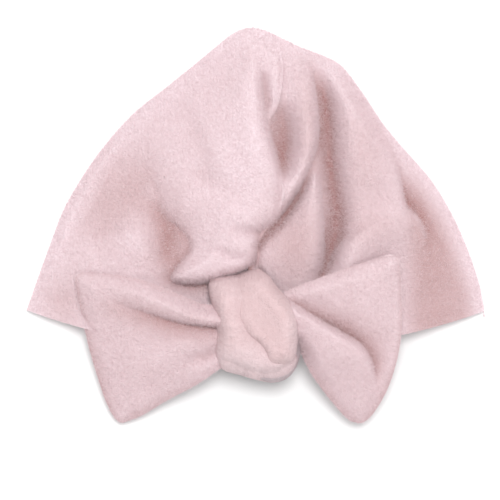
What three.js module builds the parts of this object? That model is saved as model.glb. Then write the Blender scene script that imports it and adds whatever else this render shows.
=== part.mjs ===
// A lined knit turban cap with a knotted bow, lying on its back with the bow facing up.
// Millimetres, +Z up, +Y towards the crown, +X to the right of the bow as seen from above.
// The origin is under the middle of the whole object, on the surface that it lies on.
//
// The cap has a flat back and a domed front that share one edge, the side seam, and are open at
// the hem. The front hinges on the crown when the mouth is opened, and each bow tail lifts on
// the side of the knot.

import * as THREE from 'three';

// Overall sizes of the cap
const hemWidth = 250; // across the two hem corners, laid flat
const capHeight = 153; // from the hem corners to the crown
const hemDrop = 20; // how far the middle of the hem hangs below its corners
const domeRise = 24; // height of the front above the side seam
const mouthRise = 17; // the same, at the hem
const crownShift = -3; // the crown lies this far to one side of the middle

// Cloth, thread and the gaps between them
const knitThickness = 2;
const liningThickness = 1.2;
const threadSize = 0.6;
const clearance = 0.4; // between any two neighbours
const seamAllowance = 8; // the lining stops this far inside the side seam
const hemAllowance = 5; // the hem seams run this far inside the hem

// The bow: a knot between two tails, each two layers thick
const knotWidth = 45;
const knotLength = 57;
const knotDepth = 20;
const knotBand = 4; // thickness of the cloth wrapped round the core of the knot
const knotAngle = 33; // degrees, between the band and the length of the cap
const knotDrop = 12.5; // how far the middle of the knot lies below the hem corners
const tailGap = 1.6; // between the widest part of the knot and the root of a tail
const tailRootLength = 40;
const tailRest = 5; // the tails lie on the folds, this far above the smooth dome
const tailRootRise = 6; // and their roots this much further
const tailFloorGap = 1.5; // the hanging corners stop this far above the surface
const tailHang = 46; // past the hem, the length over which a tail comes down

// The label inside the back
const labelWidth = 32;
const labelLength = 18;
const labelThickness = 0.5;
const labelFromHem = 24;

// Levels and insets that follow from the sizes above
const threadGap = threadSize + 4 * clearance; // room for a thread between two layers
const frontRim = knitThickness + clearance; // underside of the front at the side seam
const backLiningBottom = knitThickness + threadGap;
const backLiningTop = backLiningBottom + liningThickness;
const liningRim = backLiningTop + clearance;
const hemReach = 1 - (8 * seamAllowance) / hemWidth; // the hem seams stop short of the corners
const liningDrop = knitThickness + threadGap; // the front lining lies this far under the front
const threadLevel = knitThickness + threadGap / 2; // middle of a thread over a layer of knit
const hemY = -capHeight / 2 + 32; // level of the hem corners, before the object is centred
const crownY = hemY + capHeight;

// Half widths of the cap from the hem corners (0) to the crown (1), as shares of half the hem
const leftSide = [[0, 1], [0.16, 0.935], [0.32, 0.869], [0.52, 0.735], [0.67, 0.583],
  [0.82, 0.363], [0.93, 0.175], [1, 0.06]];
const rightSide = [[0, 1], [0.2, 0.92], [0.4, 0.803], [0.58, 0.64], [0.74, 0.49],
  [0.86, 0.375], [0.93, 0.215], [1, 0.07]];

// The soft folds of the front run from the crown to the knot. Places are shares of half the hem
// and of the cap's height. Each is a rounded ridge of its own width and height.
const folds = [
  { path: [[-0.02, 0.93], [-0.12, 0.7], [-0.08, 0.42], [-0.2, 0.16]], width: 26, rise: 11 },
  { path: [[0.13, 0.86], [0.3, 0.66], [0.24, 0.46], [0.12, 0.3]], width: 9, rise: 9 },
  { path: [[0.36, 0.75], [0.5, 0.5], [0.62, 0.3]], width: 17, rise: 11 },
  { path: [[0.2, 0.32], [0.14, 0.12]], width: 12, rise: 7 },
];

const materials = {
  knit: new THREE.MeshStandardMaterial({ color: 0xe9cbd0, roughness: 0.95, metalness: 0 }),
  lining: new THREE.MeshStandardMaterial({ color: 0xead3d5, roughness: 0.9, metalness: 0 }),
  thread: new THREE.MeshStandardMaterial({ color: 0xe2bcc3, roughness: 0.7, metalness: 0 }),
  label: new THREE.MeshStandardMaterial({ color: 0xf6f1ee, roughness: 0.6, metalness: 0 }),
};

// The shape of the cap

// A smooth curve through [height share, width share] points, read at one height.
function widthAt(points, share) {
  const curve = widthAt.curves.get(points) ?? new THREE.SplineCurve(
    points.map(([v, w]) => new THREE.Vector2(v, w))).getPoints(64);
  widthAt.curves.set(points, curve);
  const v = THREE.MathUtils.clamp(share, 0, 1);
  const next = Math.max(1, curve.findIndex((p) => p.x >= v - 1e-9));
  const [a, b] = [curve[next - 1], curve[next]];
  return THREE.MathUtils.mapLinear(v, a.x, b.x, a.y, b.y) * (hemWidth / 2);
}
widthAt.curves = new Map();

// Half width on one side at height share v, with the edge brought in by inset.
const halfWidth = (side, v, inset = 0) => widthAt(side < 0 ? leftSide : rightSide, v) - inset;

// Plan position of the point at share s across (-1 left edge, 1 right edge) and v up the cap.
function planPoint(s, v, inset = 0) {
  const x = crownShift * v + s * halfWidth(s, v, Math.min(inset, halfWidth(s, v) * 0.8));
  const y = hemY + v * (capHeight - inset) - hemDrop * (1 - s * s) * (1 - v) ** 2;
  return [x, y];
}

// The share s and v of a place on the cap, the reverse of planPoint.
function sharesAt(x, y) {
  let [s, v] = [0, 0];
  for (let i = 0; i < 12; i++) {
    v = THREE.MathUtils.clamp((y - hemY + hemDrop * (1 - s * s) * (1 - v) ** 2) / capHeight, 0, 1);
    const across = x - crownShift * v;
    s = THREE.MathUtils.clamp(across / halfWidth(across, v), -1, 1);
  }
  return [s, v];
}

// Cross-section of the front: rounded over at both edges, full in the middle.
const arch = (s) => Math.sqrt(Math.max(0, 1 - Math.abs(s) ** 2.4));

// Height of the front above its rim along the cap, low at the mouth and closed at the crown.
function riseAt(v, drop) {
  const bulge = mouthRise + (domeRise - mouthRise) * Math.sin(Math.PI * v ** 0.8);
  return (bulge - drop) * Math.sqrt(Math.max(0, 1 - v ** 4));
}

// A smooth line through fold points, in plan.
const foldLines = folds.map(({ path, width, rise }) => ({
  width,
  rise,
  line: new THREE.CatmullRomCurve3(path.map(([across, up]) => new THREE.Vector3(
    (across * hemWidth) / 2, hemY + up * capHeight, 0))).getPoints(24),
}));

// Height that the folds add at a place, fading out towards the edge of the cap.
function foldRise(x, y, s, v) {
  const here = new THREE.Vector3(x, y, 0);
  const heights = foldLines.map(({ width, rise, line }) => {
    const away = Math.min(...line.map((p) => p.distanceTo(here)));
    return rise * Math.exp(-((away / width) ** 2));
  });
  return Math.hypot(...heights) * arch(s) * (1 - v ** 8);
}

// A point of the front, drop below its outer face, with its edge brought in by inset.
function frontPoint(s, v, inset, drop, rim, withFolds) {
  const [x, y] = planPoint(s, v, inset);
  const extra = withFolds ? foldRise(x, y, s, v) : 0;
  return new THREE.Vector3(x, y, rim + riseAt(v, drop) * arch(s) + extra);
}

// Height of the outer face of the front at a place on it.
function frontHeight(x, y) {
  const [s, v] = sharesAt(x, y);
  return frontRim + riseAt(v, 0) * arch(s) + foldRise(x, y, s, v);
}

const hemLineY = (x) => hemY - hemDrop * (1 - THREE.MathUtils.clamp((2 * x) / hemWidth, -1, 1) ** 2);

// Geometry helpers

// A closed sheet between two faces. Each face is a function of (i, j), both from 0 to 1.
function sheet(top, bottom, columns, rows) {
  const positions = [];
  const put = (a, b, c) => positions.push(...a.toArray(), ...b.toArray(), ...c.toArray());
  const quad = (a, b, c, d) => {
    put(a, b, c);
    put(a, c, d);
  };
  const grid = (face) => Array.from({ length: rows + 1 }, (_, r) => (
    Array.from({ length: columns + 1 }, (__, c) => face(c / columns, r / rows))));
  const [up, down] = [grid(top), grid(bottom)];
  for (let r = 0; r < rows; r++) {
    for (let c = 0; c < columns; c++) {
      quad(up[r][c], up[r][c + 1], up[r + 1][c + 1], up[r + 1][c]);
      quad(down[r][c], down[r + 1][c], down[r + 1][c + 1], down[r][c + 1]);
    }
    quad(up[r][0], up[r + 1][0], down[r + 1][0], down[r][0]);
    quad(up[r][columns], down[r][columns], down[r + 1][columns], up[r + 1][columns]);
  }
  for (let c = 0; c < columns; c++) {
    quad(up[0][c], down[0][c], down[0][c + 1], up[0][c + 1]);
    quad(up[rows][c], up[rows][c + 1], down[rows][c + 1], down[rows][c]);
  }
  const geometry = new THREE.BufferGeometry();
  geometry.setAttribute('position', new THREE.Float32BufferAttribute(positions, 3));
  return geometry;
}

// A thread of round section along a line of points.
function thread(points, steps, sides = 5) {
  const section = new THREE.Shape(Array.from({ length: sides }, (_, i) => {
    const turn = (2 * Math.PI * i) / sides;
    return new THREE.Vector2(Math.cos(turn), Math.sin(turn)).multiplyScalar(threadSize / 2);
  }));
  const extrudePath = new THREE.CatmullRomCurve3(points);
  return new THREE.ExtrudeGeometry(section, { steps, extrudePath, bevelEnabled: false });
}

// The outline of the cap in plan, brought in by inset at the side seam and hemInset at the hem.
function capOutline(inset, hemInset) {
  const rows = 18;
  const bow = (i) => Math.sin((Math.PI * i) / (2 * rows)); // rows close up towards the crown
  const side = (s) => Array.from({ length: rows + 1 }, (_, i) => planPoint(s, bow(i), inset));
  const lift = ([x, y]) => [x, Math.max(y, hemLineY(x) + hemInset)];
  const [left, right] = [side(-1).map(lift), side(1).map(lift)];
  const hem = Array.from({ length: 13 }, (_, i) => {
    const x = THREE.MathUtils.lerp(left[0][0], right[0][0], (i + 1) / 14);
    return [x, hemLineY(x) + hemInset];
  });
  return [...hem, ...right, ...left.reverse()].map(([x, y]) => new THREE.Vector2(x, y));
}

// A flat layer of the cap between two levels.
function flatLayer(inset, hemInset, bottom, top) {
  const shape = new THREE.Shape(capOutline(inset, hemInset));
  const geometry = new THREE.ExtrudeGeometry(shape, { depth: top - bottom, bevelEnabled: false });
  return geometry.translate(0, 0, bottom);
}

// Rows of a sheet of the cap lie closer together near the crown.
const rowShare = (i) => Math.sin((Math.PI / 2) * i);

function named(name, geometry, material) {
  const mesh = new THREE.Mesh(geometry, materials[material]);
  mesh.name = name;
  return mesh;
}

// The back of the cap, which lies on the surface

function makeBack() {
  const group = new THREE.Group();
  group.add(named('back_panel', flatLayer(0, 0, 0, knitThickness), 'knit'));
  group.add(named('back_lining',
    flatLayer(seamAllowance, clearance, backLiningBottom, backLiningTop), 'lining'));

  const along = (s, v) => new THREE.Vector3(...planPoint(s, v, threadLevel), threadLevel);
  const seamRows = Array.from({ length: 13 }, (_, i) => rowShare(0.06 + (0.88 * i) / 12));
  const seamLine = [...seamRows.map((v) => along(-1, v)), ...seamRows.reverse().map((v) => along(1, v))];
  group.add(named('side_seam_thread', thread(seamLine, 56), 'thread'));

  const hemLine = Array.from({ length: 17 }, (_, i) => {
    const x = (hemReach * (i / 8 - 1) * hemWidth) / 2;
    return new THREE.Vector3(x, hemLineY(x) + hemAllowance, threadLevel);
  });
  group.add(named('back_hem_thread', thread(hemLine, 28), 'thread'));

  const labelLevel = backLiningTop + clearance;
  const labelY = hemLineY(0) + labelFromHem;
  const label = new THREE.BoxGeometry(labelWidth, labelLength, labelThickness)
    .translate(0, labelY, labelLevel + labelThickness / 2);
  group.add(named('care_label', label, 'label'));
  const stitchY = labelY + labelLength / 2 + clearance + threadSize / 2;
  const stitch = [-1, 0, 1].map((s) => new THREE.Vector3(
    (s * labelWidth) / 2, stitchY, labelLevel + threadSize / 2));
  group.add(named('label_stitch', thread(stitch, 6), 'thread'));
  return group;
}

// The front of the cap

// The two halves of the front meet on a line that drifts to the right towards the crown.
const meetingShare = (v) => 0.03 + 0.37 * v * v;

// One half of the front, from its edge of the cap to the meeting line.
function frontHalf(side) {
  const across = (i, v) => {
    const meet = meetingShare(v);
    const fromEdge = 1 - Math.cos((Math.PI / 2) * i); // columns close up towards the edge
    return side < 0 ? -1 + (1 + meet) * fromEdge : meet + (1 - meet) * Math.sin((Math.PI / 2) * i);
  };
  const shift = side < 0 ? 0 : clearance; // the right half stops short of the meeting line
  const point = (i, j, inset, withFolds) => {
    const v = rowShare(j);
    const s = across(i, v);
    const p = frontPoint(s, v, inset, inset, frontRim, withFolds);
    p.x += shift * (1 - i) * (side < 0 ? 0 : 1);
    return p;
  };
  return sheet((i, j) => point(i, j, 0, true), (i, j) => point(i, j, knitThickness, false), 14, 13);
}

function frontLining() {
  const riseLost = liningRim - frontRim;
  const point = (i, j, layer) => {
    const s = -Math.cos(Math.PI * i);
    const v = rowShare(j);
    const p = frontPoint(s, v, seamAllowance + layer, liningDrop + layer + riseLost, liningRim, false);
    p.y += clearance * (1 - v);
    return p;
  };
  return sheet((i, j) => point(i, j, 0), (i, j) => point(i, j, liningThickness), 18, 11);
}

// A point in the gap between the front and its lining.
const underFront = (s, v) => frontPoint(s, v, threadLevel, threadLevel, frontRim, false);

function makeFront() {
  const group = new THREE.Group();
  group.add(named('front_left_panel', frontHalf(-1), 'knit'));
  group.add(named('front_right_panel', frontHalf(1), 'knit'));
  group.add(named('front_lining', frontLining(), 'lining'));
  const hemLine = Array.from({ length: 17 }, (_, i) => underFront(
    hemReach * (i / 8 - 1), hemAllowance / capHeight));
  group.add(named('front_hem_thread', thread(hemLine, 28), 'thread'));
  const joinLine = Array.from({ length: 9 }, (_, i) => {
    const v = 0.1 + (0.76 * i) / 8;
    return underFront(meetingShare(v), v);
  });
  group.add(named('centre_front_thread', thread(joinLine, 24), 'thread'));
  return group;
}

// The knot and its tacks

const knotCentre = new THREE.Vector3(0, hemY - knotDrop, 0);

// The cloth under the knot is highest here, and the tacks lie between it and the knot.
function clothUnderKnot() {
  const places = [-1, -0.5, 0, 0.5, 1].flatMap((a) => [-0.6, -0.3, 0, 0.3, 0.6, 1].map((b) => (
    frontHeight((a * knotWidth) / 2.5, knotCentre.y + (b * knotLength) / 2))));
  return Math.max(...places);
}
knotCentre.z = clothUnderKnot() + threadGap + knotDepth / 2;

// One side of the wrapped cloth: a shell round the core, cut along the crease of the knot.
function knotWrap(side) {
  const half = new THREE.Vector3(knotWidth / 2, knotLength / 2, knotDepth / 2);
  const turn = THREE.MathUtils.degToRad(knotAngle);
  const point = (i, j, inset) => {
    const pole = THREE.MathUtils.lerp(-1.25, 1.25, j); // from one end of the crease to the other
    const round = THREE.MathUtils.lerp(Math.PI / 2, -Math.PI / 2 + 0.5, i);
    const local = new THREE.Vector3(Math.cos(pole) * Math.cos(round), Math.sin(pole),
      Math.cos(pole) * Math.sin(round));
    local.multiply(half.clone().subScalar(inset));
    local.x = side * (local.x + clearance / 2);
    return local.applyAxisAngle(new THREE.Vector3(0, 0, 1), turn).add(knotCentre);
  };
  const [outer, inner] = [(i, j) => point(i, j, 0), (i, j) => point(i, j, knotBand)];
  return side < 0 ? sheet((i, j) => outer(1 - i, j), (i, j) => inner(1 - i, j), 10, 10)
    : sheet(outer, inner, 10, 10);
}

function knotCore() {
  const core = new THREE.SphereGeometry(1, 16, 10);
  const inset = knotBand + 1.5 * clearance;
  core.scale(knotWidth / 2 - inset, knotLength / 2 - inset, knotDepth / 2 - inset);
  return core.rotateZ(THREE.MathUtils.degToRad(knotAngle)).translate(...knotCentre.toArray());
}

// A row of tacking under the knot, lying on the highest cloth there.
function tackRow(y, length) {
  const level = clothUnderKnot() + clearance + threadSize / 2;
  const points = [-1, 0, 1].map((s) => new THREE.Vector3((s * length) / 2, y, level));
  return thread(points, 6);
}

function makeKnot() {
  const group = new THREE.Group();
  group.add(named('knot_over_wrap', knotWrap(1), 'knit'));
  group.add(named('knot_under_wrap', knotWrap(-1), 'knit'));
  group.add(named('knot_core', knotCore(), 'knit'));
  group.add(named('pleat_tack', tackRow(knotCentre.y + knotLength / 6, knotWidth / 2), 'thread'));
  group.add(named('bow_tack', tackRow(knotCentre.y - knotLength / 12, knotWidth / 3), 'thread'));
  return group;
}

// The bow tails

// Plan corners of each tail past the knot: the upper and the lower corner of its cut end, from
// the middle of the knot.
const tailEnds = {
  left: { side: -1, upper: [-100, 30], lower: [-75, -51], rootLift: 0 },
  right: { side: 1, upper: [77, 41], lower: [55, -52], rootLift: 3 },
};

// Height of what a tail lies on: the front, and past the hem a slope down to the surface.
function restHeight(x, y) {
  const [s, v] = sharesAt(x, y);
  const cloth = frontRim + riseAt(v, 0) * arch(s) + tailRest;
  const past = THREE.MathUtils.smoothstep(hemLineY(x) - y, 0, tailHang);
  return THREE.MathUtils.lerp(cloth, tailFloorGap, past);
}

// A point of one layer of a tail, i out from the knot and j from the lower to the upper edge.
function tailPoint({ side, upper, lower, rootLift }, i, j, level) {
  const rootX = side * (knotWidth / 2 + tailGap + clearance);
  const root = [rootX, THREE.MathUtils.lerp(-tailRootLength / 2, tailRootLength / 2, j) + rootLift];
  const end = [THREE.MathUtils.lerp(lower[0], upper[0], j), THREE.MathUtils.lerp(lower[1], upper[1], j)];
  const x = THREE.MathUtils.lerp(root[0], end[0], i);
  const y = THREE.MathUtils.lerp(root[1], end[1], i) + knotCentre.y;
  const rootRise = tailRootRise * (1 - i) ** 2;
  return new THREE.Vector3(x, y, restHeight(x, y) + rootRise + level);
}

function makeTail(name) {
  const tail = tailEnds[name];
  const group = new THREE.Group();
  const layer = (bottom) => {
    const face = (level) => (i, j) => tailPoint(tail, tail.side > 0 ? i : 1 - i, j, level);
    return sheet(face(bottom + knitThickness), face(bottom), 12, 9);
  };
  group.add(named(`${name}_tail_backing`, layer(0), 'knit'));
  group.add(named(`${name}_tail_face`, layer(knitThickness + threadGap), 'knit'));

  const run = (count, place) => Array.from({ length: count }, (_, k) => place(k / (count - 1)));
  const round = [...run(10, (t) => [0.06 + 0.86 * t, 0.06]), ...run(6, (t) => [0.965, 0.12 + 0.76 * t]),
    ...run(10, (t) => [0.92 - 0.86 * t, 0.94])];
  const points = round.map(([i, j]) => tailPoint(tail, i, j, threadLevel));
  group.add(named(`${name}_tail_thread`, thread(points, 44), 'thread'));
  return group;
}

// Assembly

// Moves the group so that its origin is under the middle of everything in it.
function centreOnSurface(group) {
  const box = new THREE.Box3().setFromObject(group, true);
  const middle = box.getCenter(new THREE.Vector3());
  group.position.set(-middle.x, -middle.y, -box.min.z);
  return group;
}

const turban = new THREE.Group();
turban.add(makeBack(), makeFront(), makeKnot(), makeTail('left'), makeTail('right'));
centreOnSurface(turban);

export default turban;
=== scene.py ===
import math

import bpy
import numpy as np
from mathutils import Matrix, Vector


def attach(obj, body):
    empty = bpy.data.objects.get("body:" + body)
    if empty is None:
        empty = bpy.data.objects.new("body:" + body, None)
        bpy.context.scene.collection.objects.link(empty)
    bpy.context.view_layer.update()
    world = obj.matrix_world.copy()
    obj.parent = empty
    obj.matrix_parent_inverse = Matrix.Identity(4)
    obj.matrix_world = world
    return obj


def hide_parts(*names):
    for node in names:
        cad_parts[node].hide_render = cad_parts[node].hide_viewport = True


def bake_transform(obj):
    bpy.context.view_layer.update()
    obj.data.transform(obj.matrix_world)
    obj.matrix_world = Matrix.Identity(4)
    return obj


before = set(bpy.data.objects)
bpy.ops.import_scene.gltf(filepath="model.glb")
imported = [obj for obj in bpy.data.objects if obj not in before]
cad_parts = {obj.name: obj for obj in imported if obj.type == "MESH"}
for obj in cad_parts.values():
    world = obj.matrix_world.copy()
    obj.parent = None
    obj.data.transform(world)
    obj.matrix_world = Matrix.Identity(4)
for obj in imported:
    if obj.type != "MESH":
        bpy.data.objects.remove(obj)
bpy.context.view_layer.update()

# Lengths here are in millimetres, in the frame of the CAD part: +Z up, +Y towards the crown.
mm = 0.001
knitThickness = 1.7
ribPitch, rowPitch = 1.8, 1.3  # of the knit, across and along the cloth
heldBelow, freeAbove = 4, 6  # heights between which the front's cloth lets go of the back


# A smooth line through points, as evenly spaced ones.
def smoothLine(points, count=120):
    p = np.array(points, float)
    p = np.vstack([2 * p[0] - p[1], p, 2 * p[-1] - p[-2]])
    t = np.linspace(0, len(p) - 3 - 1e-9, 600)
    i = t.astype(int)
    f = (t - i)[:, None]
    a, b, c, d = p[i], p[i + 1], p[i + 2], p[i + 3]
    bend, twist = 2 * a - 5 * b + 4 * c - d, 3 * b - a - 3 * c + d
    line = 0.5 * (2 * b + (c - a) * f + bend * f ** 2 + twist * f ** 3)
    along = np.concatenate([[0], np.cumsum(np.linalg.norm(np.diff(line, axis=0), axis=1))])
    even = np.linspace(0, along[-1], count)
    return np.stack([np.interp(even, along, line[:, k]) for k in range(line.shape[1])], 1)


def step(value):
    t = np.clip(value, 0, 1)
    return t * t * (3 - 2 * t)


# How far each place is from a line, positive on its left, and each profile given along the
# line, averaged over the stretch of the line that is about as near.
def near(points, x, y, *profiles, blend=3.5):
    line = smoothLine(points)[:, :2]
    tangent = np.gradient(line, axis=0)
    tangent /= np.linalg.norm(tangent, axis=1)[:, None]
    half = np.linalg.norm(line[1] - line[0]) / 2
    share = np.linspace(0, 1, len(line))
    table = np.stack([np.ones(len(line))] + [profileAt(p, share) for p in profiles], 1)
    flat = np.stack([x.ravel(), y.ravel()], 1)
    signed, found = np.zeros(len(flat)), np.zeros((len(flat), table.shape[1]))
    for i in range(0, len(flat), 20000):
        off = flat[i:i + 20000, None, :] - line[None]
        away = np.sqrt((off ** 2).sum(2))
        best = away.argmin(1)
        row = np.arange(len(best))
        here, way = off[row, best], tangent[best]
        cross = way[:, 0] * here[:, 1] - way[:, 1] * here[:, 0]
        beyond = np.maximum(np.abs((here * way).sum(1)) - half, 0)
        signed[i:i + 20000] = np.sign(cross) * np.hypot(cross, beyond)
        if profiles:
            weight = np.exp((away[row, best][:, None] - away) / blend)
            found[i:i + 20000] = weight @ table / weight.sum(1)[:, None]
    return [signed.reshape(x.shape)] + [found[:, k + 1].reshape(x.shape) for k in range(len(profiles))]


def profileAt(values, share):
    if callable(values):
        return values(share)
    values = [values, values] if np.isscalar(values) else values
    return np.interp(share, np.linspace(0, 1, len(values)), values)


def fadeOver(ends):
    return lambda share: step(share / max(ends[0], 1e-6)) * step((1 - share) / max(ends[1], 1e-6))


# A rounded ridge, or a valley where rise is negative. It fades out over the ends.
def ridge(x, y, path, rise, width, ends=(0.25, 0.25)):
    s, high, wide, fade = near(path, x, y, rise, width, fadeOver(ends))
    return high * np.exp(-(s / wide) ** 2) * fade


# Cloth that lies over its neighbour: it rolls up from its edge on one side, and the
# neighbour dips beside it. side is 1 where the raised cloth is left of the path, and
# soft is 0.5 for a full round edge and 1 for a gentle slope.
def overlap(x, y, path, rise, roll, reach, dip=3, dipReach=3, side=1, ends=(0.15, 0.15), soft=0.5):
    s, high, rolled, far, low, fade, bend = near(path, x, y, rise, roll, reach, dip, fadeOver(ends), soft)
    s = s * side
    t = np.clip(s / rolled, 0, 1)
    up = (1 - (1 - t) ** 2) ** bend * np.exp(-(np.maximum(s - rolled, 0) / far) ** 2)
    down = np.where(s > 0, np.exp(-(s / 1.5) ** 2), np.exp(np.minimum(s, 0) / dipReach))
    return (high * up - low * down) * fade


def addObject(name, mesh, material):
    made = bpy.data.objects.new(name, mesh)
    bpy.context.scene.collection.objects.link(made)
    mesh.materials.append(material)
    mesh.polygons.foreach_set("use_smooth", [True] * len(mesh.polygons))
    return made


def applyAll(made):
    graph = bpy.context.evaluated_depsgraph_get()
    mesh = bpy.data.meshes.new_from_object(made.evaluated_get(graph))
    made.modifiers.clear()
    made.data = mesh
    return made


# A grid of points (rows, columns, 3) in millimetres as a mesh, with its plan place in the UV map
# and, in an attribute, how much painted shade each point gets, mostly where it lies deep between the folds.
def gridMesh(name, grid, hollow=None):
    rows, columns = grid.shape[:2]
    index = np.arange(rows * columns).reshape(rows, columns)
    quads = np.stack([index[:-1, :-1], index[:-1, 1:], index[1:, 1:], index[1:, :-1]], -1).reshape(-1, 4)
    mesh = bpy.data.meshes.new(name)
    mesh.from_pydata([tuple(p) for p in grid.reshape(-1, 3) * mm], [], quads.tolist())
    place = grid[..., :2].reshape(-1, 2)
    uv = mesh.uv_layers.new(name="cloth")
    uv.data.foreach_set("uv", (place[quads.ravel()] * mm).ravel())
    paintedShadeAmount = mesh.attributes.new("hollow", "FLOAT", "POINT")
    paintedShadeAmount.data.foreach_set("value", np.zeros(rows * columns) if hollow is None else hollow.ravel())
    mesh.update()
    return mesh


def clothPiece(name, grid, material, thickness=knitThickness, hollow=None):
    made = addObject(name, gridMesh(name, grid, hollow), material)
    solid = made.modifiers.new("thickness", "SOLIDIFY")
    solid.thickness = thickness * mm
    solid.offset = -1
    applyAll(made).data.set_sharp_from_angle(angle=math.radians(50))
    return made


def surfaceArea(made):
    return sum(face.area for face in made.data.polygons)


def nodeGroup(name, inputs):
    group = bpy.data.node_groups.new(name, "GeometryNodeTree")
    group.interface.new_socket("Geometry", in_out="INPUT", socket_type="NodeSocketGeometry")
    for label, kind in inputs:
        group.interface.new_socket(label, in_out="INPUT", socket_type=kind)
    group.interface.new_socket("Geometry", in_out="OUTPUT", socket_type="NodeSocketGeometry")
    ends = group.nodes.new("NodeGroupInput"), group.nodes.new("NodeGroupOutput")
    return group, ends[0], ends[1]


def addNode(group, kind, settings=None, **links):
    node = group.nodes.new(kind)
    for key, value in (settings or {}).items():
        setattr(node, key, value)
    for key, value in links.items():
        numbered = key[0] == "i" and key[1:].isdigit()  # i0, i1 and so on name a socket by its number
        socket = node.inputs[int(key[1:]) if numbered else key.replace("_", " ")]
        if isinstance(value, bpy.types.NodeSocket):
            group.links.new(value, socket)
        else:
            socket.default_value = value
    return node


def finishGroup(group, start, end, geometry):
    real = addNode(group, "GeometryNodeRealizeInstances", Geometry=geometry)
    painted = addNode(group, "GeometryNodeSetMaterial", Geometry=real.outputs[0],
                      Material=start.outputs["Material"])
    group.links.new(painted.outputs[0], end.inputs[0])
    return group


# A bead of thread at every pitch along a line
def stitchGroup():
    group, start, end = nodeGroup("stitchRow", [("Pitch", "NodeSocketFloat"), ("Size", "NodeSocketFloat"),
                                                ("Material", "NodeSocketMaterial")])
    curve = addNode(group, "GeometryNodeMeshToCurve", Mesh=start.outputs["Geometry"])
    points = addNode(group, "GeometryNodeCurveToPoints", {"mode": "LENGTH"}, Curve=curve.outputs[0],
                     Length=start.outputs["Pitch"])
    bead = addNode(group, "GeometryNodeMeshUVSphere", Segments=8, Rings=6, Radius=1.0)
    long = addNode(group, "ShaderNodeMath", {"operation": "MULTIPLY"}, i0=start.outputs["Pitch"], i1=0.42)
    scale = addNode(group, "ShaderNodeCombineXYZ", X=start.outputs["Size"], Y=start.outputs["Size"],
                    Z=long.outputs[0])
    placed = addNode(group, "GeometryNodeInstanceOnPoints", Points=points.outputs["Points"],
                     Instance=bead.outputs["Mesh"], Rotation=points.outputs["Rotation"],
                     Scale=scale.outputs[0])
    return finishGroup(group, start, end, placed.outputs[0])


# Short fibres that stand out of the cloth at all angles
def pileGroup():
    group, start, end = nodeGroup("pile", [
        ("Density", "NodeSocketFloat"), ("Length", "NodeSocketFloat"), ("Fibre", "NodeSocketObject"),
        ("Material", "NodeSocketMaterial")])
    points = addNode(group, "GeometryNodeDistributePointsOnFaces", Mesh=start.outputs["Geometry"],
                     Density=start.outputs["Density"], Seed=7)
    fibre = addNode(group, "GeometryNodeObjectInfo", Object=start.outputs["Fibre"])
    placed = addNode(group, "GeometryNodeInstanceOnPoints", Points=points.outputs["Points"],
                     Instance=fibre.outputs["Geometry"], Rotation=points.outputs["Rotation"])
    turn = addNode(group, "FunctionNodeRandomValue", {"data_type": "FLOAT_VECTOR"}, i0=(-1.1, -1.1, -3.14),
                   i1=(1.1, 1.1, 3.14), Seed=11)
    tilted = addNode(group, "GeometryNodeRotateInstances", Instances=placed.outputs[0],
                     Rotation=turn.outputs[0])
    part = addNode(group, "FunctionNodeRandomValue", {"data_type": "FLOAT"}, i2=0.45, i3=1.0, Seed=13)
    size = addNode(group, "ShaderNodeMath", {"operation": "MULTIPLY"}, i0=part.outputs[1],
                   i1=start.outputs["Length"])
    scaled = addNode(group, "GeometryNodeScaleInstances", Instances=tilted.outputs[0],
                     Scale=size.outputs[0])
    return finishGroup(group, start, end, scaled.outputs[0])


def grow(name, source, group, material, **values):
    made = bpy.data.objects.new(name, source)
    bpy.context.scene.collection.objects.link(made)
    modifier = made.modifiers.new("nodes", "NODES")
    modifier.node_group = group
    for item in group.interface.items_tree:
        if item.in_out == "INPUT" and item.name in values:
            modifier[item.identifier] = values[item.name]
        if item.in_out == "INPUT" and item.name == "Material":
            modifier[item.identifier] = material
    applyAll(made)
    made.data.polygons.foreach_set("use_smooth", [True] * len(made.data.polygons))
    return made


def stitchRow(name, path, pitch=2.4, size=0.3, count=160):
    line = smoothLine(path, count) * mm
    mesh = bpy.data.meshes.new(name + "Line")
    mesh.from_pydata([tuple(p) for p in line], [(i, i + 1) for i in range(len(line) - 1)], [])
    return grow(name, mesh, stitches, threadFibre, Pitch=pitch * mm, Size=size * mm)


fibres = {
    "perSquare": 6.5,  # on a square millimetre
    "length": 2.3,
    "halfWidth": 0.035,  # this and the lean are shares of the length
    "lean": 0.12,
}


def addPile(name, grid):
    return grow(name, gridMesh(name + "Base", grid), pile, pileFibre,
                Density=fibres["perSquare"] * 1e6, Length=fibres["length"] * mm, Fibre=fibreShape)


cap = {
    "left": [(-127.5, -45.5), (-115.5, -12), (-105.5, 13), (-88.5, 40), (-69.5, 62), (-51, 77),
             (-33, 91.5), (-16, 105.5), (-9, 109.5), (-5, 110.6)],
    "right": [(126.5, -49), (123.5, -33), (116.5, -12), (107.5, 8), (96.5, 26), (81, 44), (70, 57.5),
              (59, 74), (48, 88.5), (38.5, 94.5), (23, 100.5), (7, 108.3), (1, 110.3)],
    "hem": -46.8,  # where the hem meets the side seams
    "hemHalf": 126,
    "hemDrop": 20,
    "hemBend": 2.2,
    "rim": 3.9,  # height of the front at the side seams
    "domeRise": 24,
    "mouthRise": 17,
    "rounding": 58,
    "valleyFloor": 8.6,
    "lap": 1.9,  # how far the left half of the front lies above the right half
}

# The edge where the left half of the front lies over the right half, from the hem up
meeting = [(0, -66), (0, -40), (0.5, -18), (1.5, -8), (5, -2), (11, 4), (14, 15), (13.5, 30), (9.5, 46),
           (7, 57), (11, 65), (14, 79), (13.5, 95), (7, 105), (-2, 110.6)]

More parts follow.
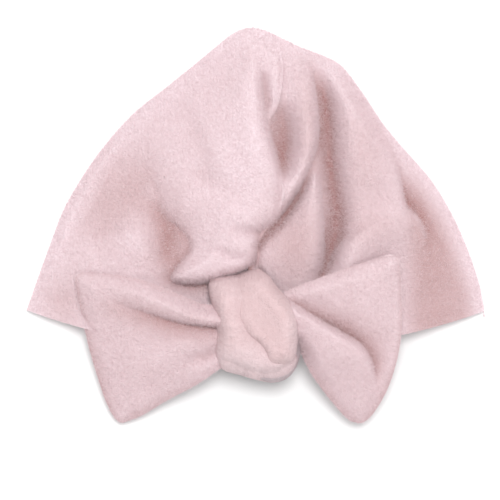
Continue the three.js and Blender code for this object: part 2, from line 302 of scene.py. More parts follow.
leftFolds = [
    # The thick roll that falls from the crown, turns under the middle and ends in a point
    ("overlap", dict(path=[(-74, 52), (-62, 34), (-55, 20), (-51, 7), (-40, -3), (-37, -12), (-43, -21),
                           (-47, -29), (-36, -31.5), (-21, -29), (-7, -24), (0, -17), (1.5, -7), (5, -2),
                           (11, 4), (14, 15), (13.5, 30), (9, 46), (5, 58), (3.5, 70), (3, 82), (1, 98)],
                     rise=[1, 3, 7, 10, 11, 11, 12, 12, 12, 11, 7, 1],
                     roll=[34, 36, 34, 27, 12, 8, 11, 13, 14, 14, 13, 14],
                     reach=[40, 40, 50, 60, 60, 60, 60, 50, 45, 30, 20],
                     dip=[0, 0, 1, 3, 6, 6, 3, 1, 1, 0, 0], dipReach=7,
                     soft=[1, 1, 1, 0.9, 0.6, 0.5, 0.5, 0.5, 0.5, 0.6, 1])),
    ("overlap", dict(path=[(3, 110), (10, 103), (13.5, 95), (14, 79), (11, 64), (6, 57)], side=-1,
                     rise=[2, 3.5, 4.5, 4, 1.5], roll=[5, 5, 5, 4, 3], reach=[12, 8, 6, 5], dip=1,
                     dipReach=3, ends=(0.1, 0.5))),
    ("ridge", dict(path=[(-6, 97), (-6, 70), (0, 48), (3, 26)], rise=4, width=9)),
    ("ridge", dict(path=[(4, 90), (4, 76), (7, 60)], rise=-4.5, width=4)),
    ("ridge", dict(path=[(-3, 96), (-2, 78), (1, 60)], rise=2.5, width=5)),
    ("ridge", dict(path=[(-40, 34), (-26, 24), (-6, 17)], rise=-2.2, width=7)),
    ("ridge", dict(path=[(-20, 1), (-8, -2.5), (8, -3)], rise=[-2, -4, -5], width=[5, 3, 2.4],
                   ends=(0.5, 0.1))),
    ("ridge", dict(path=[(-24, -12), (-14, -16), (-4, -17)], rise=-3, width=3)),
    ("ridge", dict(path=[(-46, 44), (-66, 24), (-86, -4), (-92, -22)], rise=[-4, -8, -9, -5], width=22)),
    ("ridge", dict(path=[(-60, 20), (-54, 6), (-50, -8), (-52, -26)], rise=[-3, -6, -7, -5],
                   width=[10, 9, 8])),
    ("ridge", dict(path=[(-80, -1), (-68, -5), (-57, -8)], rise=5.5, width=11, ends=(0.5, 0.5))),
]

rightFolds = [
    # The rounded fold beside the roll, over the deep valley
    ("overlap", dict(path=[(27, 98), (31, 83), (33.5, 60), (32.5, 44), (26, 27), (17, 12), (7, -1)],
                     side=-1, rise=[3, 7, 9, 9, 7], roll=[6, 5.5, 5.5, 5, 4], reach=10, dip=3, dipReach=6)),
    ("ridge", dict(path=[(12, 76), (14, 64), (16, 50), (16.5, 36), (15, 18)],
                   rise=[-3, -8, -11, -10, -5], width=8)),
    ("ridge", dict(path=[(27, 24), (17, 9), (8, -2)], rise=-3, width=2.6)),
    ("ridge", dict(path=[(34, 95), (39, 62), (40.5, 34), (44, 6), (41, -16), (38, -28)],
                   rise=[-8, -12, -13, -14, -14], width=[6, 7, 7, 6.5], ends=(0.2, 0.05))),
    # The lobe over the knot
    ("overlap", dict(path=[(10, -36), (2, -24), (-0.5, -14), (6, -5.5), (16.5, 5), (25, 18), (31, 30),
                           (34.5, 24), (36, 8), (36.5, -10), (35, -30)],
                     side=-1, rise=[5, 5.5, 6, 6.5, 8, 9], roll=[10, 13, 14, 12, 7, 6], reach=40, dip=1.5,
                     dipReach=3, ends=(0.1, 0.1), soft=[0.7, 0.8, 0.9, 0.8, 0.5, 0.5])),
    ("ridge", dict(path=[(42, 92), (53, 70), (60, 42), (68, 14)], rise=[7, 8, 8, 9],
                   width=[8, 12, 14, 13])),
    ("overlap", dict(path=[(58, 72), (68, 58), (76, 42), (80, 26), (82.5, 12), (88.5, 6), (93.5, -3),
                           (92, -16)],
                     side=-1, rise=6.5, roll=[6, 7, 7, 7, 6, 6], reach=24, dip=7, dipReach=20,
                     ends=(0.12, 0.4))),
    ("ridge", dict(path=[(43, -28), (49, -14), (64, -4), (88, 0)], rise=[5, 6, 6, 5], width=[9, 12, 12],
                   ends=(0.05, 0.2))),
    ("overlap", dict(path=[(36, -32), (40, -20), (45, -11), (52, -4), (62, 1.5), (78, 7)], side=-1,
                     rise=[4, 6, 6, 4, 2], roll=[5, 6, 7, 8], reach=14, dip=[1, 2, 1, 0], dipReach=4,
                     ends=(0.05, 0.6))),
]


def insideCap(x, y):
    return np.maximum(np.minimum(-near(cap["left"], x, y)[0], near(cap["right"], x, y)[0]), 0)


# Height of the smooth dome of the cap, inside millimetres in from its side seam.
def domeHeight(x, y, inside):
    rise = cap["mouthRise"] + (cap["domeRise"] - cap["mouthRise"]) * step((y + 60) / 90)
    t = np.clip(inside / (cap["rounding"] + 26 * step((x - 30) / 50)), 0, 1)
    low = 1 - 0.4 * step((-x - 80) / 32) * step((-22 - y) / 20) - 0.25 * step((x - 78) / 26)
    return cap["rim"] + rise * low * (1 - (1 - t) ** 2) ** 0.92


def foldsAt(x, y, folds):
    kinds = {"ridge": ridge, "overlap": overlap}
    return sum(kinds[kind](x, y, **facts) for kind, facts in folds)


def smoothed(field, passes=2):
    for _ in range(passes):
        edge = np.pad(field, 1, mode="edge")
        field = (4 * field + edge[:-2, 1:-1] + edge[2:, 1:-1] + edge[1:-1, :-2] + edge[1:-1, 2:]) / 8
    return field


# The lowest height within a few grid steps, for a lining that hangs under every fold.
def lowest(field, passes=5):
    for _ in range(passes):
        edge = np.pad(field, 1, mode="edge")
        beside = edge[:-2, 1:-1], edge[2:, 1:-1], edge[1:-1, :-2], edge[1:-1, 2:]
        field = np.minimum.reduce([field, *beside])
    return field


# How far each place lies below the cloth round it, from 0 to 1 deep between folds. It sets how much painted
# shade the creases and hollows get.
def hollowOf(z, pitch=1.0):
    def blurred(width):
        reach = np.arange(-int(3 * width / pitch), int(3 * width / pitch) + 1)
        weight = np.exp(-(reach * pitch / width) ** 2 / 2)
        weight /= weight.sum()
        field = np.pad(z, len(reach) // 2, mode="edge")
        for axis in (0, 1):
            field = np.apply_along_axis(lambda line: np.convolve(line, weight, "valid"), axis, field)
        return field
    small, large = blurred(5) - z, blurred(14) - z
    return np.clip(np.clip(small / 6, -1, 1) * 0.5 + np.clip(large / 9, -1, 1) * 0.5, 0, 1)


# Broad patches of painted shade, or of painted light where the last number is negative
paintedShadePatches = [(-74, 14, 22, 28, 0.3), (-69, -7, 10, 9, -0.2), (-48, -9, 12, 18, 0.42),
              (-110, -38, 16, 14, 0.15), (-4, 40, 16, 60, -0.1), (-38, -16, 12, 10, -0.1),
              (20, -10, 18, 24, 0.4), (29, 60, 8, 34, 0.3), (58, 34, 14, 44, 0.24),
              (66, -2, 26, 10, 0.14), (92, -20, 24, 40, 0.1)]


# Painted shade over the front, by plan place: darker between the folds, over the right panel and in listed
# patches, lighter in other patches and along the side seams
def capPaintedShade(pitch=1.5):
    across, along = np.arange(-135, 136, pitch), np.arange(-75, 121, pitch)
    x, y = np.meshgrid(across, along)
    z = np.where(near(meeting, x, y)[0] > 0, frontHeight(x, y, -1), frontHeight(x, y, 1))
    inside = insideCap(x, y)
    # Painted shade in the hollows between folds, fading out towards the side seams, where a painted highlight
    # runs instead
    paintedShadeAmount = hollowOf(z, pitch) * step(inside / 22) - 0.15 * (1 - step(inside / 16))
    paintedShadeAmount = paintedShadeAmount + 0.45 * step((x - 78) / 14) * step((inside - 1) / 12)  # painted shade over the right panel
    for px, py, wide, high, more in paintedShadePatches:
        paintedShadeAmount = paintedShadeAmount + more * np.exp(-((x - px) / wide) ** 2 - ((y - py) / high) ** 2)

    def sample(x, y):
        i = np.clip((x - across[0]) / pitch, 0, len(across) - 1.001)
        j = np.clip((y - along[0]) / pitch, 0, len(along) - 1.001)
        a, b = i.astype(int), j.astype(int)
        p, q = i - a, j - b
        return (paintedShadeAmount[b, a] * (1 - p) * (1 - q) + paintedShadeAmount[b, a + 1] * p * (1 - q)
                + paintedShadeAmount[b + 1, a] * (1 - p) * q + paintedShadeAmount[b + 1, a + 1] * p * q)
    return sample


# The line of the hem, which bows away from the crown.
def hemLine(x):
    return cap["hem"] - cap["hemDrop"] * (1 - np.abs(x / cap["hemHalf"]) ** cap["hemBend"])


# Plan places in rows from the hem to the crown, between two lines that run up the cap.
def capRows(fromLine, toLine, rows, columns, drop=0.0):
    a, b = smoothLine(fromLine, rows), smoothLine(toLine, rows)
    u = np.linspace(0, 1, columns)[None, :, None]
    grid = a[:, None, :] * (1 - u) + b[:, None, :] * u
    x, y = grid[..., 0], grid[..., 1]
    hem = hemLine(x[0]) - drop
    return x, y + (hem - y[0])[None, :] * (1 - np.linspace(0, 1, rows)[:, None]) ** 3


# Height of the front's upper face. half is -1 for the left half and 1 for the right half.
def frontHeight(x, y, half):
    inside = insideCap(x, y)
    dome, fade = domeHeight(x, y, inside), step(inside / 12)
    least = np.minimum(dome, cap["valleyFloor"])
    right = dome + foldsAt(x, y, rightFolds) * fade
    right = np.maximum(right, least)
    if half > 0:
        return right
    left = np.maximum(dome + foldsAt(x, y, leftFolds) * fade, least)
    edge = np.abs(near(meeting, x, y)[0])
    rest = step(1 - edge / 4)
    return left * (1 - rest) + (right + cap["lap"]) * rest


def frontHalf(half, rows=225, columns=170):
    tuck = [(px - 5, py) for px, py in meeting[:-1]] + [meeting[-1]]
    x, y = capRows(cap["left"] if half < 0 else cap["right"], meeting if half < 0 else tuck, rows, columns)
    z = smoothed(frontHeight(x, y, half))
    grid = np.stack([x, y, z], -1)
    return grid if half < 0 else grid[:, ::-1]


# One output of a shader's nodes, which turns sums on it into Math nodes
class Socket:
    def __init__(self, tree, socket):
        self.tree, self.socket = tree, socket

    def math(self, operation, other, flip=False):
        node = self.tree.nodes.new("ShaderNodeMath")
        node.operation = operation
        for i, value in enumerate((other, self) if flip else (self, other)):
            if isinstance(value, Socket):
                self.tree.links.new(value.socket, node.inputs[i])
            else:
                node.inputs[i].default_value = value
        return Socket(self.tree, node.outputs[0])

    def __add__(self, other):
        return self.math("ADD", other)

    def __radd__(self, other):
        return self.math("ADD", other, True)

    def __sub__(self, other):
        return self.math("SUBTRACT", other)

    def __rsub__(self, other):
        return self.math("SUBTRACT", other, True)

    def __mul__(self, other):
        return self.math("MULTIPLY", other)

    def __rmul__(self, other):
        return self.math("MULTIPLY", other, True)


class Shader:
    def __init__(self, name):
        self.material = bpy.data.materials.new(name)
        self.material.use_nodes = True
        self.tree = self.material.node_tree
        self.principled = self.tree.nodes["Principled BSDF"]

    def node(self, kind, settings=None, **inputs):
        node = self.tree.nodes.new(kind)
        for key, value in (settings or {}).items():
            setattr(node, key, value)
        for key, value in inputs.items():
            self.put(node, key, value)
        return node

    def put(self, node, key, value):
        socket = node.inputs[key.replace("_", " ")]
        if isinstance(value, Socket):
            self.tree.links.new(value.socket, socket)
        else:
            socket.default_value = value

    def out(self, node, key=0):
        return Socket(self.tree, node.outputs[key])


def knitMaterial(name, low, high, sheen=0.15, ribs=1.0, fuzz=1.0):
    sh = Shader(name)
    place = sh.out(sh.node("ShaderNodeUVMap", {"uv_map": "cloth"}))
    scaled = sh.node("ShaderNodeVectorMath", {"operation": "SCALE"}, Scale=1 / mm)
    sh.tree.links.new(place.socket, scaled.inputs[0])
    cloth = sh.out(scaled)

    def noise(scale, detail=2.0, roughness=0.6):
        made = sh.node("ShaderNodeTexNoise", {}, Vector=cloth, Scale=scale, Detail=detail,
                       Roughness=roughness)
        return sh.out(made, "Fac")

    apart = sh.node("ShaderNodeSeparateXYZ", {}, Vector=cloth)
    wander = noise(0.12, 1.0)
    across = sh.out(apart, "X") * (2 * math.pi / ribPitch) + wander * 5.0
    ribHeight = across.math("SINE", 0.0)
    rows = (sh.out(apart, "Y") * (2 * math.pi / rowPitch) + wander * 7.0).math("SINE", 0.0)
    fine, soft, broad = noise(1.4, 3.0, 0.7), noise(0.42, 2.0), noise(0.09, 1.0)
    height = ribHeight * (0.06 * ribs) + rows * (0.02 * ribs) + fine * (1.1 * fuzz) + soft * (1.5 * fuzz)
    bump = sh.node("ShaderNodeBump", {}, Strength=0.9, Distance=0.9 * mm, Height=height)
    mottle = fine * 1.7 + soft * 1.3 + broad * 0.6 - 1.25
    mix = sh.node("ShaderNodeMix", {"data_type": "RGBA"})
    sh.tree.links.new(mottle.socket, mix.inputs["Factor"])
    mix.inputs[6].default_value = (*low, 1)
    mix.inputs[7].default_value = (*high, 1)
    # Painted shade: the colour turns a dark warm pink as the shade attribute rises, in creases, hollows and
    # places set to look shaded, and a little everywhere
    paintedShadeAmount = sh.out(sh.node("ShaderNodeAttribute", {"attribute_name": "hollow"}), "Fac")
    shade = sh.node("ShaderNodeMix", {"data_type": "RGBA", "clamp_factor": True})
    sh.tree.links.new((paintedShadeAmount + 0.14).socket, shade.inputs["Factor"])
    sh.tree.links.new(mix.outputs[2], shade.inputs[6])
    shade.inputs[7].default_value = (*[c * k for c, k in zip(low, (0.56, 0.36, 0.32))], 1)
    bsdf = sh.principled
    sh.tree.links.new(shade.outputs[2], bsdf.inputs["Base Color"])
    sh.tree.links.new(bump.outputs[0], bsdf.inputs["Normal"])
    bsdf.inputs["Roughness"].default_value = 0.95
    bsdf.inputs["Specular IOR Level"].default_value = 0.15
    bsdf.inputs["Sheen Weight"].default_value = sheen
    bsdf.inputs["Sheen Roughness"].default_value = 0.6
    bsdf.inputs["Sheen Tint"].default_value = (1, 0.93, 0.94, 1)
    return sh.material


def plainMaterial(name, colour, roughness=0.8):
    sh = Shader(name)
    coords = sh.out(sh.node("ShaderNodeTexCoord"), "Object")
    grain = sh.out(sh.node("ShaderNodeTexNoise", {}, Vector=coords, Scale=900.0, Detail=2.0), "Fac")
    shade = sh.node("ShaderNodeMix", {"data_type": "RGBA"})
    sh.tree.links.new(grain.socket, shade.inputs["Factor"])
    shade.inputs[6].default_value = (*[c * 0.92 for c in colour], 1)
    shade.inputs[7].default_value = (*colour, 1)
    sh.tree.links.new(shade.outputs[2], sh.principled.inputs["Base Color"])
    bump = sh.node("ShaderNodeBump", {}, Strength=0.4, Distance=0.1 * mm, Height=grain)
    sh.tree.links.new(bump.outputs[0], sh.principled.inputs["Normal"])
    sh.principled.inputs["Roughness"].default_value = roughness
    return sh.material


knit = knitMaterial("brushedKnit", (0.81, 0.665, 0.70), (0.95, 0.825, 0.87))
liningKnit = knitMaterial("liningKnit", (0.80, 0.62, 0.63), (0.86, 0.69, 0.70), sheen=0.2, fuzz=0.3)
threadFibre = plainMaterial("threadFibre", (0.78, 0.55, 0.58), 0.6)
labelTape = plainMaterial("labelTape", (0.88, 0.85, 0.83), 0.7)
pileFibre = plainMaterial("pileFibre", (0.80, 0.645, 0.67), 0.9)
stitches, pile = stitchGroup(), pileGroup()
fibreMesh = bpy.data.meshes.new("fibre")
fibreMesh.from_pydata([(-fibres["halfWidth"], 0, 0), (fibres["halfWidth"], 0, 0), (0, fibres["lean"], 1)],
                      [], [(0, 1, 2)])
fibreShape = bpy.data.objects.new("fibre", fibreMesh)
bpy.context.scene.collection.objects.link(fibreShape)
print("materials made")


leftGrid, rightGrid = frontHalf(-1), frontHalf(1)
paintedShadeAt = capPaintedShade()
frontLeft = clothPiece("frontLeft", leftGrid, knit, hollow=paintedShadeAt(leftGrid[..., 0], leftGrid[..., 1]))
frontRight = clothPiece("frontRight", rightGrid, knit, hollow=paintedShadeAt(rightGrid[..., 0], rightGrid[..., 1]))
leftPile = addPile("frontLeftPile", leftGrid)
rightPile = addPile("frontRightPile", rightGrid)
for piece in (leftPile, rightPile):
    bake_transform(piece)
for piece, node in ((frontLeft, "front_left_panel"), (frontRight, "front_right_panel")):
    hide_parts(node)
    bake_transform(piece)
    print(piece.name, "faces", len(piece.data.polygons), "area", round(surfaceArea(piece), 4))

# The back lies flat, and its hem shows just past the front's
back = {"height": 1.9, "thickness": 1.8}
x, y = capRows(cap["left"], cap["right"], 120, 150)
backPanel = clothPiece("backPanel", np.stack([x, y, np.full_like(x, back["height"])], -1), knit,
                       back["thickness"])
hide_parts("back_panel")
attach(backPanel, "back")

linings = {
    "inset": 9,  # from the side seams
    "shorter": 0.96,
    "leftTop": (-6, 99),
    "rightTop": (2, 99),
    "shortOfHem": 2,
    "backHeight": 5.2,
    "frontFloor": 6.4,
    "underFront": 3.4,  # how far the front lining hangs under the front
    "thickness": 1.0,
}
inset, shorter = linings["inset"], linings["shorter"]
x, y = capRows([(px + inset, py * shorter) for px, py in cap["left"][:-1]] + [linings["leftTop"]],
               [(px - inset, py * shorter) for px, py in cap["right"][:-1]] + [linings["rightTop"]],
               90, 110, drop=-linings["shortOfHem"])
backLining = clothPiece("backLining", np.stack([x, y, np.full_like(x, linings["backHeight"])], -1),
                        liningKnit, linings["thickness"])
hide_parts("back_lining")
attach(backLining, "back")

low = np.minimum(frontHeight(x, y, -1), frontHeight(x, y, 1)) - linings["underFront"]
lining = np.maximum(np.minimum(smoothed(lowest(low), 24), low), linings["frontFloor"])
frontLining = clothPiece("frontLining", np.stack([x, y, lining], -1), liningKnit, linings["thickness"])
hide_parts("front_lining")
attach(frontLining, "front")
print("cap made")


# A puffed strip of cloth between two lines, round at its long edges and at its ends. Where
# leftEdge is given, its left edge has a shape of its own.
def stripGrid(left, right, top, rise, rounding, folds=(), leftEdge=None, rows=110, columns=80):
    a, b = smoothLine(left, rows), smoothLine(right, rows)
    u = np.linspace(0, 1, columns)[None, :, None]
    grid = a[:, None, :] * (1 - u) + b[:, None, :] * u
    x, y = grid[..., 0], grid[..., 1]
    v = np.linspace(0, 1, rows)[:, None]
    share = np.broadcast_to(v, x.shape)
    length = np.linalg.norm(a[0] - a[-1])
    fromLeft, fromRight = np.abs(near(left, x, y)[0]), np.abs(near(right, x, y)[0])
    edge = np.minimum(fromLeft, fromRight)
    ends = np.clip(np.minimum(v, 1 - v) * length / rounding, 0, 1)

    def roundOff(away, reach, bend=0.5):
        return (1 - (1 - np.clip(away / reach, 0, 1)) ** 2) ** bend

    outer = edge if leftEdge is None else fromRight
    z = profileAt(top, share) - rise * (1 - roundOff(outer, rounding) * roundOff(ends * rounding, rounding))
    if leftEdge is not None:
        reach, bend, drop = (profileAt(leftEdge[part], share) for part in ("reach", "bend", "drop"))
        z = z - drop * (1 - roundOff(fromLeft, reach, bend))
    return np.stack([x, y, smoothed(z + foldsAt(x, y, folds) * step(edge / 6))], -1)


knot = {
    "over": dict(left=[(-10, -27.3), (-9.5, -33), (-10, -42), (-9.2, -50), (-3.8, -56.7), (2.4, -62),
                       (6.2, -67.3), (7.4, -73.4), (9.5, -76)],
                 right=[(0.3, -24.3), (5.6, -28), (9.4, -33.2), (14.8, -39.3), (18.5, -44.7), (20.9, -50.8),
                        (20.9, -58.3), (19.4, -69.8), (15.6, -73.5), (11, -75.6)],
                 top=[40, 47, 49.5, 51, 51, 48], rise=14, rounding=8,
                 leftEdge=dict(drop=[5, 5, 3.5, 4, 6, 6], reach=[12, 12, 9, 5, 4, 4],
                               bend=[1.4, 1.4, 1, 0.5, 0.5, 0.5]),
                 folds=[("ridge", dict(path=[(3, -32), (12, -43), (18, -55), (16, -68)], rise=1.5, width=4)),
                        ("ridge", dict(path=[(-3, -30), (2, -42), (9, -58)], rise=-1.2, width=6)),
                        ("ridge", dict(path=[(-7, -48), (0, -58), (8, -70)], rise=1.2, width=2.5))]),
    "under": dict(left=[(-23.9, -28.7), (-25, -33), (-24, -39.4), (-22.3, -47), (-20.8, -55.3),
                        (-21.3, -63), (-21.2, -70), (-17.8, -77), (-7.3, -80.4)],
                  right=[(-2, -27), (8, -38), (12, -52), (17, -62), (20.8, -70), (20.8, -74), (17, -80),
                         (9.4, -83.9), (4.2, -83.6)],
                  top=[41, 46, 47, 44, 39.5, 34], rise=18, rounding=12,
                  folds=[("ridge", dict(path=[(-17, -34), (-16, -48), (-12, -64)], rise=3, width=5)),
                         ("ridge", dict(path=[(-9, -27), (-9, -38), (-8, -46)], rise=-2.5, width=6)),
                         ("overlap", dict(path=[(-14, -72), (-4, -76.5), (6, -78), (12, -76.5), (19, -71)],
                                          rise=3.5, roll=5, reach=10, dip=1.5, dipReach=3))]),
    "core": dict(radii=[18, 25, 9], centre=[5, -61, 27],
                 turn=[[0.94, 0.34, 0], [-0.34, 0.94, 0], [0, 0, 1]]),  # 20 degrees about Z
}
overGrid, underGrid = stripGrid(**knot["over"]), stripGrid(**knot["under"])
# Painted shade on the knot: an even darkening, a little less towards the over wrap's right side and the under
# wrap's lower end
knotOver = clothPiece("knotOver", overGrid, knit, hollow=0.4 - 0.15 * step((overGrid[..., 0] - 12) / 12))
knotUnder = clothPiece("knotUnder", underGrid, knit, hollow=0.36 - 0.1 * step((-60 - underGrid[..., 1]) / 10))
knotOverPile = addPile("knotOverPile", overGrid)
knotUnderPile = addPile("knotUnderPile", underGrid)
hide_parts("knot_over_wrap")
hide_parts("knot_under_wrap")

bpy.ops.mesh.primitive_uv_sphere_add(segments=64, ring_count=40, radius=1)
knotCore = bpy.context.object
knotCore.name = "knotCore"
ball = np.array([v.co for v in knotCore.data.vertices])
ball = ball * knot["core"]["radii"] @ np.array(knot["core"]["turn"]) + knot["core"]["centre"]
knotCore.data.vertices.foreach_set("co", (ball * mm).ravel())
knotCore.data.uv_layers[0].name = "cloth"
knotCore.data.materials.append(knit)
knotCore.data.polygons.foreach_set("use_smooth", [True] * len(knotCore.data.polygons))
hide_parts("knot_core")
for piece in (knotOver, knotUnder, knotCore, knotOverPile, knotUnderPile):
    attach(piece, "front")
print("knot made")


bendFrom, bendTo = 20, 36  # how far out from the knot a tail's cloth starts and ends its bend
tails = {
    "left": {
        "side": -1,
        "upper": [(-18, -43, 33), (-32, -41.5, 33), (-46, -35.5, 31), (-65, -28.5, 27), (-86, -25.3, 20),
                  (-96, -25, 17)],
        "lower": [(-18, -76, 26), (-32, -86, 21), (-50, -96, 13), (-63, -104, 8), (-71, -107.5, 6)],
        "end": [(-71, -107.5, 6), (-75.5, -108.5, 5), (-79.5, -105, 5.5), (-84, -96, 6.5),
                (-88.5, -82, 8.5), (-93, -66, 11), (-97, -47, 14), (-100, -31, 16), (-99.5, -27, 16.5),
                (-96, -25, 17)],
        "flat": (0.095, 0.095),
        "area": 0.0061,
        "puff": 9,
        "nap": dict(path=[(-92, -41), (-76, -45), (-60, -50), (-41, -55.5), (-20, -58)],
                    rise=[0.1, 0.35, 0.4, 0.3], width=7, ends=(0.15, 0.05)),
        "folds": [
            ("overlap", dict(path=[(-90, -37), (-76, -41.5), (-60, -46.5), (-41, -52), (-18, -55)],
                             rise=[0, 2, 4, 6, 7], roll=[12, 9, 7, 6, 6], reach=14,
                             dip=[0, 1, 2.5, 4.5, 6], dipReach=8, ends=(0.3, 0))),
            ("ridge", dict(path=[(-22, -48), (-44, -43), (-64, -36), (-86, -31)], rise=3,
                           width=[4, 6, 7, 8])),
            ("ridge", dict(path=[(-18, -69), (-30, -71), (-46, -75)], rise=-4, width=4.5, ends=(0, 0.6))),
            ("ridge", dict(path=[(-28, -63), (-50, -70), (-72, -80)], rise=3, width=12)),
        ],
    },
    "right": {
        "side": 1,
        "upper": [(10, -38, 32), (22, -32.5, 33), (34, -28, 34), (52, -21.5, 33), (65, -17.3, 31),
                  (72, -15.8, 29)],
        "lower": [(16, -62, 26), (23, -67.5, 25), (29.5, -80, 22.5), (38, -92, 18), (48, -104, 14),
                  (52.5, -107.2, 12.5)],
        "end": [(52.5, -107.2, 12.5), (57.5, -108.4, 12), (62.5, -105, 12.5), (67.5, -98, 14.5),
                (72.5, -88, 17), (77, -73, 21), (79.3, -57, 24), (79, -36, 27), (77.8, -20, 28.5),
                (76, -16.5, 29), (72, -15.8, 29)],
        "flat": (0.085, 0.105),
        "area": 0.0056,
        "puff": 9,
        "nap": dict(path=[(22, -40), (38, -47), (52, -53), (63, -62), (69, -76)],
                    rise=[0.05, 0.1, 0.15, 0.1], width=8),
        "folds": [
            ("overlap", dict(path=[(14, -38), (22, -43), (34, -50.5), (46, -57.5), (57, -64.5), (63.5, -75),
                                   (67, -90)],
                             side=-1, rise=[8, 8, 8, 8, 7, 5, 2], roll=[5, 7, 9, 10, 10, 10, 12], reach=22,
                             dip=[3, 5, 8, 9, 8, 7, 3], dipReach=13, ends=(0, 0.2))),
            ("ridge", dict(path=[(16, -35), (40, -30), (66, -23)], rise=3, width=9)),
        ],
    },
}


# Points across a tail from its root to its end, and from its lower to its upper edge, on its
# face or on its backing.
def tailGrid(facts, isFace, rows=150, columns=130):
    lower, upper = smoothLine(facts["lower"], columns), smoothLine(facts["upper"], columns)
    v = np.linspace(0, 1, rows)[:, None, None]
    u = np.linspace(0, 1, columns)[None, :, None]
    end = smoothLine(facts["end"], rows)
    grid = lower[None] * (1 - v) + upper[None] * v
    straight = lower[-1] * (1 - v) + upper[-1] * v
    grid = grid + (end[:, None, :] - straight) * u ** 2
    x, y, z = grid[..., 0], grid[..., 1], grid[..., 2].copy()
    edge = np.minimum.reduce([np.abs(near(facts[k], x, y)[0]) for k in ("lower", "upper", "end")])
    t = np.clip(edge / 8, 0, 1)
    rounded = (1 - (1 - t) ** 2) ** 0.95
    if isFace:
        z = z + facts["puff"] * 0.55 * rounded + facts["puff"] * 0.45 * step(edge / 25)
        fromEnd = np.abs(near(facts["end"], x, y)[0])
        stitched = 0.5 * np.exp(-((fromEnd - 5.5) / 2) ** 2)  # a shallow groove along the end's seam
        z = smoothed(z + foldsAt(x, y, facts["folds"]) * step(edge / 9) - stitched)
    else:
        z = z - 3.4 - 1.8 * rounded
    return np.stack([x, y, z], -1)


for name, facts in tails.items():
    side = facts["side"]
    shape = tailGrid(facts, True)[:, ::side]  # faces up on both sides
    # Painted shade on a tail: darker in its creases, a little all over, and more in a band along its fold;
    # the backing gets an even painted shade
    paintedShadeAmount = hollowOf(shape[..., 2], 0.6) + 0.1 + ridge(shape[..., 0], shape[..., 1], **facts["nap"])
    face = clothPiece(f"{name}TailFace", shape, knit, hollow=paintedShadeAmount)
    nap = addPile(f"{name}TailPile", shape)
    backing = clothPiece(f"{name}TailBacking", tailGrid(facts, False)[:, ::-side], knit,
                         hollow=np.full(shape.shape[:2], 0.1))
    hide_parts(f"{name}_tail_face")
    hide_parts(f"{name}_tail_backing")
    for piece in (face, backing, nap):
        side * bendFrom * mm
        side * bendTo * mm
        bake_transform(piece)
print("tails made")


# Points on the front, this far above its upper face
def onFront(points, half, above):
    x, y = np.array(points, float).T
    return np.stack([x, y, frontHeight(x[None], y[None], half)[0] + above], 1)


def hemAt(x, up):
    return [(float(v), hemLine(v) + up) for v in x]


rim = smoothLine(cap["left"], 150).tolist() + smoothLine(cap["right"], 150)[::-1].tolist()[4:]
hemSpan = np.linspace(-90, 90, 61)
hemTurn = 5  # the hem stitches' distance from the hem
halves = [onFront(hemAt(hemSpan[hemSpan < 0], hemTurn), -1, -1.9),
          onFront(hemAt(hemSpan[hemSpan >= 0], hemTurn), 1, -1.9)]

# Each thread's path, and the body that it rides on, or two bodies and two places listed for blending it
# between them; a thread with two bodies stays unattached
seams = {
    "side_seam_thread": ([(x, y, 2.05) for x, y in rim], ("back",)),
    "back_hem_thread": ([(x, y, 2.1) for x, y in hemAt(hemSpan, hemTurn)], ("back",)),
    "front_hem_thread": (np.vstack(halves), ("back", "front", (0, 0, heldBelow), (0, 0, freeAbove))),
    "centre_front_thread": (onFront([(x - 2.5, y) for x, y in meeting[1:-2]], 1, 0.15),
                            ("back", "front", (0, 0, heldBelow), (0, 0, freeAbove))),
    "pleat_tack": (onFront([(x, -47.2) for x in range(-11, 12, 2)], 1, 0.3), ("front",)),
    "bow_tack": (onFront([(x, -59.5) for x in range(-8, 9, 2)], 1, 0.3), ("front",)),
    "label_stitch": ([(-15.5, -32, 6.05), (0, -32, 6.1), (15.5, -32, 6.05)], ("back",)),
}
for name, facts in tails.items():
    side = facts["side"]
    run = [(x + (side * 56 - x) * 0.01, y + (-62 - y) * 0.01, z - 1.7)  # just inside the tail's edge
           for x, y, z in facts["lower"][1:] + facts["end"][1:-1] + facts["upper"][:0:-1]]
    seams[f"{name}_tail_thread"] = (run, ("front", f"{name}_tail", (side * bendFrom, 0, 0),
                                          (side * bendTo, 0, 0)))

for node, (path, bodies) in seams.items():
    name = "".join(word.capitalize() if i else word for i, word in enumerate(node.split("_")))
    thread = stitchRow(name, path, count=60 + int(4 * len(path)))
    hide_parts(node)
    if len(bodies) == 1:
        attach(thread, bodies[0])
    else:
        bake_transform(thread)
print("seams made")

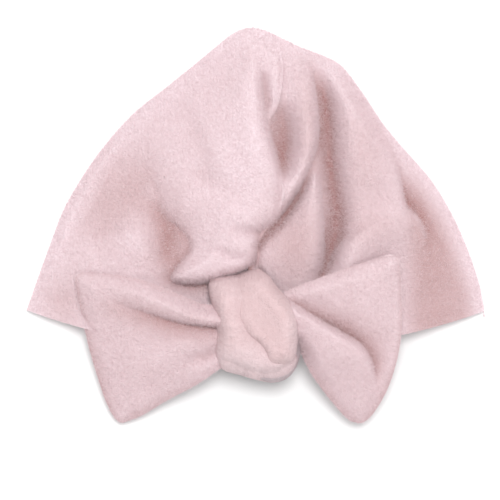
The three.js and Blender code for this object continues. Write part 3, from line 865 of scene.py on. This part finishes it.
# A blank tape label, sewn to the lining along its top edge
label = {"halfWidth": 16, "free": -49, "sewn": -31.2, "height": 5.65, "curl": 0.5, "thickness": 0.35}
x, y = np.meshgrid(np.linspace(-label["halfWidth"], label["halfWidth"], 33),
                   np.linspace(label["free"], label["sewn"], 19))
curl = label["curl"] * np.clip((-40 - y) / 9, 0, 1) ** 2 + 0.25 * (x / label["halfWidth"]) ** 2
careLabel = clothPiece("careLabel", np.stack([x, y, label["height"] + curl], -1), labelTape,
                       label["thickness"])
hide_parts("care_label")
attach(careLabel, "back")
bpy.data.objects.remove(fibreShape)  # the fibres that grew from it are meshes by now
print("label made")

# Each tail's face, backing and pile, and the backing's cut area in square metres, from the tail's listed
# area.
for name, facts in tails.items():
    face, backing, nap = (bpy.data.objects[f"{name}Tail{part}"] for part in ("Face", "Backing", "Pile"))
    facts["area"] * 0.92  # flatter than the face


studio = {
    "lens": 200,
    "sensor": 36,
    "framed": 0.275,  # metres across the picture at the height that the camera is aimed at
    "aim": (-3.8 * mm, -12.7 * mm, 0.02),
    "floorGrey": 0.81,
    "keyPlace": (0.12, 0.45, 2.25),
    "keySize": 0.9,
    "keyPower": 38,
    "worldLight": 0.82,
}
view = bpy.data.cameras.new("view")
view.lens = studio["lens"]
view.sensor_width = studio["sensor"]
view.clip_end = 10
camera = bpy.data.objects.new("view", view)
aimX, aimY, aimZ = studio["aim"]
camera.location = (aimX, aimY, aimZ + studio["framed"] * studio["lens"] / studio["sensor"])
bpy.context.scene.collection.objects.link(camera)
bpy.context.scene.camera = camera

bpy.ops.mesh.primitive_plane_add(size=6)
floor = bpy.context.object
floor.name = "floor"
floorShader = Shader("paleFloor")
floorShader.principled.inputs["Base Color"].default_value = (*[studio["floorGrey"]] * 3, 1)
floorShader.principled.inputs["Roughness"].default_value = 0.9
floor.data.materials.append(floorShader.material)

keyLight = bpy.data.lights.new("key", "AREA")
keyLight.shape = "DISK"
keyLight.size = studio["keySize"]
keyLight.energy = studio["keyPower"]
key = bpy.data.objects.new("key", keyLight)
key.location = studio["keyPlace"]
key.rotation_euler = (-Vector(studio["keyPlace"])).to_track_quat("-Z", "Y").to_euler()
bpy.context.scene.collection.objects.link(key)

world = bpy.data.worlds.new("studio")
world.use_nodes = True
world.node_tree.nodes["Background"].inputs[0].default_value = (1, 1, 1, 1)
world.node_tree.nodes["Background"].inputs[1].default_value = studio["worldLight"]
bpy.context.scene.world = world
bpy.context.scene.view_settings.view_transform = "Standard"
print("camera and light set")
